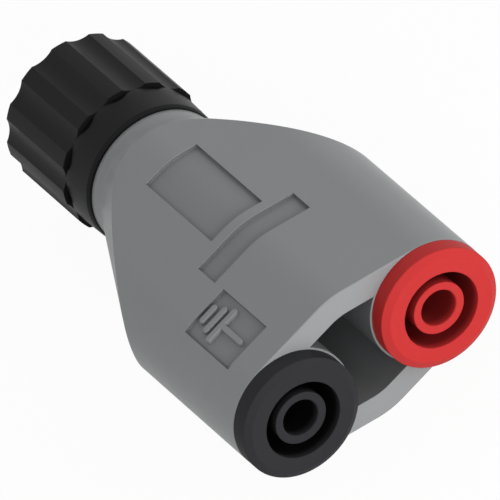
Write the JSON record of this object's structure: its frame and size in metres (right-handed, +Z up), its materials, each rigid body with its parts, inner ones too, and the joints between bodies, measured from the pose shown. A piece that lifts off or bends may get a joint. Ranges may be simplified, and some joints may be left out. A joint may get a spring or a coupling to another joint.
{
  "type": "bnc adapter",
  "caption": "Adapter from a bayonet coaxial plug with a fluted coupling nut to a red and a black shrouded 4 mm socket, in a forked grey moulded body.",
  "frame": {"origin": "on the coaxial plug's axis, in the plane of the coupling nut's front face", "axes": "+X along the plug's axis towards the sockets' faces, +Y to the red socket, +Z up from the face that has the recessed panels"},
  "size_m": [0.0619, 0.0334, 0.018],
  "materials": {
    "grey_body": "fine satin grain",
    "dark_inner": "matt",
    "black_grip": "semi-matt",
    "spring_steel": "bright",
    "nickel": "satin nickel plate",
    "gold": "gold flash",
    "white_insulator": "waxy",
    "silicone": "soft matt",
    "tinned": "tinned",
    "copper": "bright copper",
    "red_insulation": "gloss",
    "black_insulation": "gloss",
    "red_moulding": "satin",
    "black_moulding": "satin",
    "contact_brass": "turned"
  },
  "bodies": {
    "adapter_body": {"housing": "grey_body", "chamber_cover": "dark_inner", "wave_spring": "spring_steel", "spring_seat_washer": "spring_steel", "plug_shell": "nickel", "outer_contact": "nickel", "centre_pin": "gold", "front_insulator": "white_insulator", "rear_insulator": "white_insulator", "sealing_gasket": "silicone", "shell_locknut": "nickel", "ground_solder_tag": "tinned", "signal_wire_core": "copper", "signal_wire_sleeve": "red_insulation", "ground_wire_core": "copper", "ground_wire_sleeve": "black_insulation", "red_socket_insert": "red_moulding", "black_socket_insert": "black_moulding", "red_socket_contact": "contact_brass", "black_socket_contact": "contact_brass", "red_retaining_ring": "spring_steel", "black_retaining_ring": "spring_steel"},
    "sliding_washer": {"thrust_washer": "spring_steel"},
    "coupling_nut": {"coupling_nut": "black_grip"}
  },
  "joints": [
    {"name": "nut_float", "type": "slide", "parent": "adapter_body", "child": "sliding_washer", "axis": [-1, 0, 0], "range_m": [0, 0.0008], "stiffness_N_per_m": 2000, "springref_m": -0.0015, "deforming": ["wave_spring"]},
    {"name": "nut_turn", "type": "hinge", "parent": "sliding_washer", "child": "coupling_nut", "pos_m": [0, 0, 0], "axis": [1, 0, 0], "continuous": true}
  ]
}
